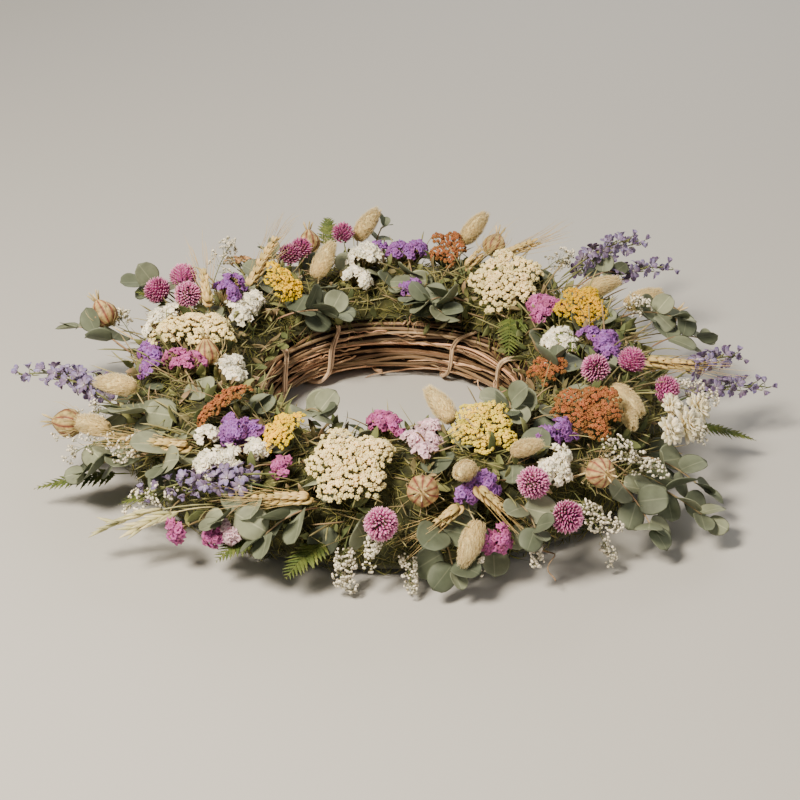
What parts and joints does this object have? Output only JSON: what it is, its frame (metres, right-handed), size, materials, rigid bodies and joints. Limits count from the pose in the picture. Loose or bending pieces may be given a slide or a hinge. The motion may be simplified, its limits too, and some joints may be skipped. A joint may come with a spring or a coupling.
{
  "type": "dried flower wreath",
  "caption": "Round door wreath of wound vine, with a moss collar set with dried flowers, grasses, pods and leaves, and a hinged hanging ring on its back.",
  "frame": {"origin": "on the table under the middle of the flower ring, with the wreath lying on its back", "axes": "+Z out of the flower side (away from the door), +Y to the top of the wreath as it hangs, +X to its right seen from the flower side"},
  "size_m": [0.6238, 0.5195, 0.1264],
  "materials": {
    "vine_bark": "matte",
    "binding_bark": "matte",
    "moss": "matte",
    "steel": "satin",
    "cream_yarrow": "matte",
    "yellow_yarrow": "matte",
    "rust_yarrow": "matte",
    "globe_pink": "matte",
    "bunny_tail": "matte",
    "wheat": "matte",
    "seed_pod": "matte",
    "purple_statice": "matte",
    "pink_statice": "matte",
    "white_statice": "matte",
    "larkspur": "matte",
    "eucalyptus": "matte",
    "fern": "matte"
  },
  "bodies": {
    "wreath": {"binding_vine_1": "binding_bark", "binding_vine_2": "binding_bark", "binding_vine_3": "binding_bark", "bunny_tail_back": "bunny_tail", "bunny_tail_back_right": "bunny_tail", "bunny_tail_front": "bunny_tail", "bunny_tail_inner": "bunny_tail", "bunny_tail_left": "bunny_tail", "bunny_tail_right": "bunny_tail", "bunny_tail_right_back": "bunny_tail", "cream_yarrow_1": "cream_yarrow", "cream_yarrow_2": "cream_yarrow", "cream_yarrow_3": "cream_yarrow", "eucalyptus_back": "eucalyptus", "eucalyptus_left": "eucalyptus", "eucalyptus_right": "eucalyptus", "fern_left": "fern", "fern_right": "fern", "globe_amaranth_front": "globe_pink", "globe_amaranth_front_right": "globe_pink", "globe_amaranth_left": "globe_pink", "globe_amaranth_right": "globe_pink", "hanger_eye": "steel", "larkspur_back_right": "larkspur", "larkspur_left": "larkspur", "larkspur_right": "larkspur", "moss_collar": "moss", "pink_statice_front": "pink_statice", "pink_statice_left": "pink_statice", "pink_statice_right": "pink_statice", "purple_statice_back": "purple_statice", "purple_statice_front_left": "purple_statice", "purple_statice_left": "purple_statice", "rust_yarrow_1": "rust_yarrow", "rust_yarrow_2": "rust_yarrow", "rust_yarrow_3": "rust_yarrow", "rust_yarrow_4": "rust_yarrow", "rust_yarrow_5": "rust_yarrow", "seed_pod_front": "seed_pod", "seed_pod_front_right": "seed_pod", "seed_pod_left": "seed_pod", "seed_pod_right": "seed_pod", "vine_hoop_inner_high": "vine_bark", "vine_hoop_inner_low": "vine_bark", "vine_hoop_outer_high": "vine_bark", "vine_hoop_outer_low": "vine_bark", "wheat_back": "wheat", "wheat_front": "wheat", "wheat_front_left": "wheat", "wheat_left": "wheat", "wheat_right": "wheat", "white_statice_back": "white_statice", "white_statice_left": "white_statice", "white_statice_right": "white_statice", "yellow_yarrow_1": "yellow_yarrow", "yellow_yarrow_2": "yellow_yarrow", "yellow_yarrow_3": "yellow_yarrow", "yellow_yarrow_4": "yellow_yarrow"},
    "hanger": {"hanger_ring": "steel"}
  },
  "joints": [
    {"name": "hanger_hinge", "type": "hinge", "parent": "wreath", "child": "hanger", "pos_m": [0, 0.18591, 0.00335], "axis": [1, 0, 0], "range_deg": [-150, 0]}
  ]
}
